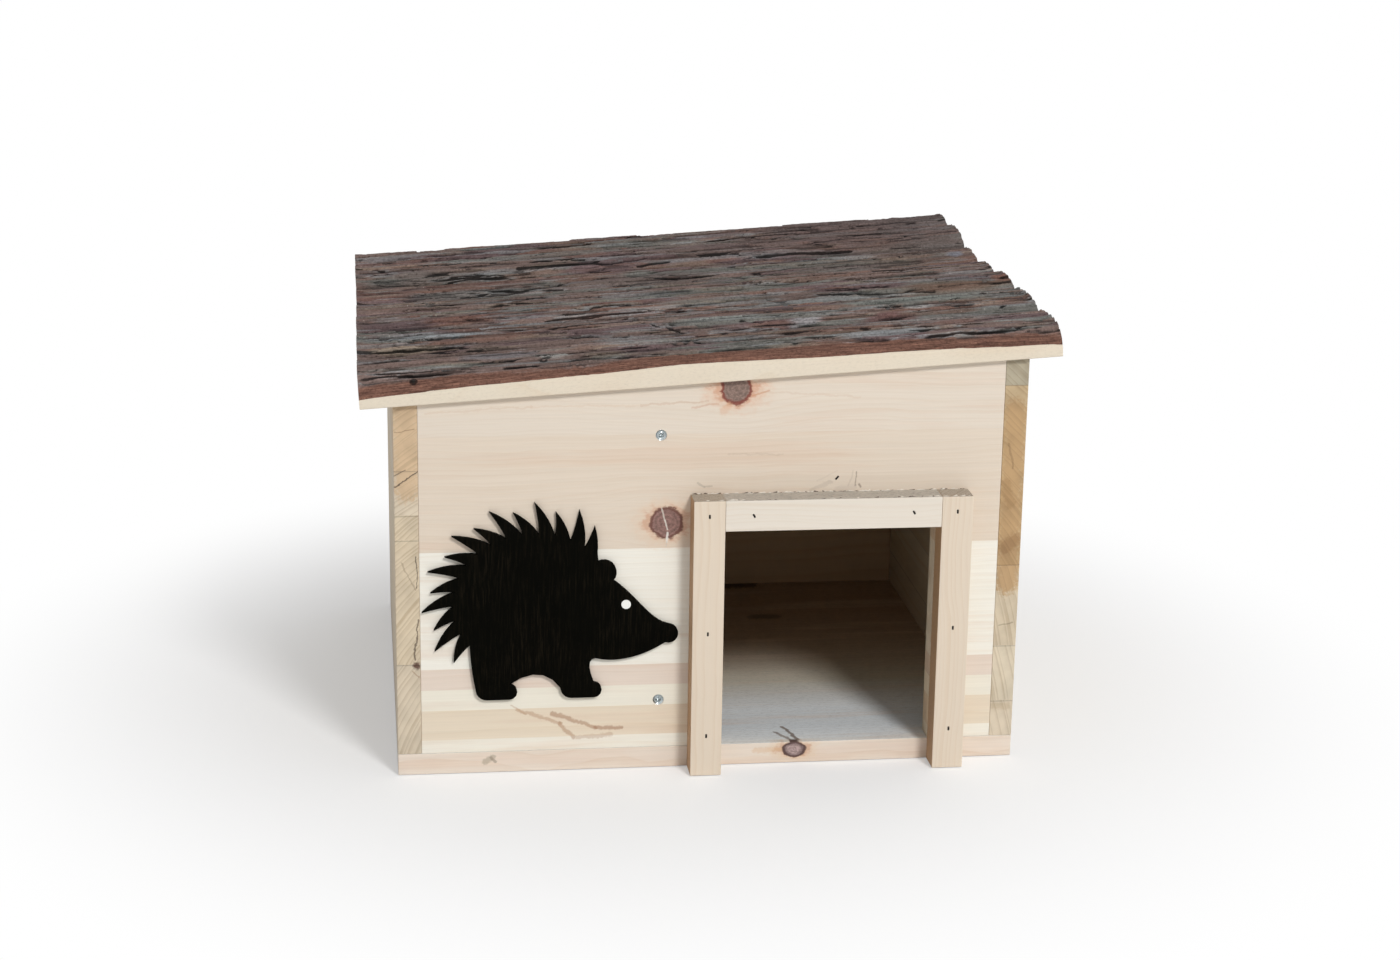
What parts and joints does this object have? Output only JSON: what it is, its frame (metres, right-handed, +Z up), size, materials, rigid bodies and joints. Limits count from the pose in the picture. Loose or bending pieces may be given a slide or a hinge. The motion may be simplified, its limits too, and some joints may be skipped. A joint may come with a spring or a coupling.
{
  "type": "hedgehog house",
  "caption": "Wooden shelter for hedgehogs: a pine box with a framed doorway, an inner partition and a sloping, hinged lid of bark-covered slabs.",
  "frame": {"origin": "middle of the floor board's underside, on the ground", "axes": "+X to the right when facing the doorway, along the longest extent and up the lid's slope; +Y to the back; +Z up"},
  "size_m": [0.4417, 0.388, 0.2985],
  "materials": {
    "pine_boards": "planed, untreated",
    "pine_battens": "sawn, untreated",
    "slab_wood": "sawn, untreated",
    "bark": "natural bark",
    "black_plywood": "matt black stain",
    "white_paint": "matt white paint",
    "zinc_screws": "zinc plated",
    "zinc_hinges": "zinc plated",
    "steel_nails": "bare steel, dulled"
  },
  "bodies": {
    "house": {"floor_board": "pine_boards", "left_side_panel": "pine_boards", "right_side_panel": "pine_boards", "front_panel": "pine_boards", "back_panel": "pine_boards", "partition": "pine_boards", "left_entrance_post": "pine_battens", "right_entrance_post": "pine_battens", "entrance_lintel": "pine_battens", "hedgehog_silhouette": "black_plywood", "hedgehog_eye": "white_paint", "left_hinge_wall_leaf": "zinc_hinges", "left_hinge_pin": "zinc_hinges", "right_hinge_wall_leaf": "zinc_hinges", "right_hinge_pin": "zinc_hinges", "wall_leaf_screws": "zinc_screws", "side_screws": "zinc_screws", "floor_screws": "zinc_screws", "partition_screws": "zinc_screws", "entrance_brads": "steel_nails"},
    "lid": {"roof_slab_1": "slab_wood", "roof_slab_2": "slab_wood", "roof_slab_3": "slab_wood", "roof_slab_4": "slab_wood", "roof_slab_5": "slab_wood", "roof_slab_6": "slab_wood", "roof_slab_7": "slab_wood", "slab_bark_1": "bark", "slab_bark_2": "bark", "slab_bark_3": "bark", "slab_bark_4": "bark", "slab_bark_5": "bark", "slab_bark_6": "bark", "slab_bark_7": "bark", "left_roof_batten": "pine_battens", "right_roof_batten": "pine_battens", "left_hinge_lid_leaf": "zinc_hinges", "right_hinge_lid_leaf": "zinc_hinges", "lid_leaf_screws": "zinc_screws", "slab_nails": "steel_nails", "bark_tacks": "steel_nails"}
  },
  "joints": [
    {"name": "lid_hinge", "type": "hinge", "parent": "house", "child": "lid", "pos_m": [0, 0.1778, 0.253], "axis": [-0.9981, 0, -0.0624], "range_deg": [0, 100]}
  ]
}
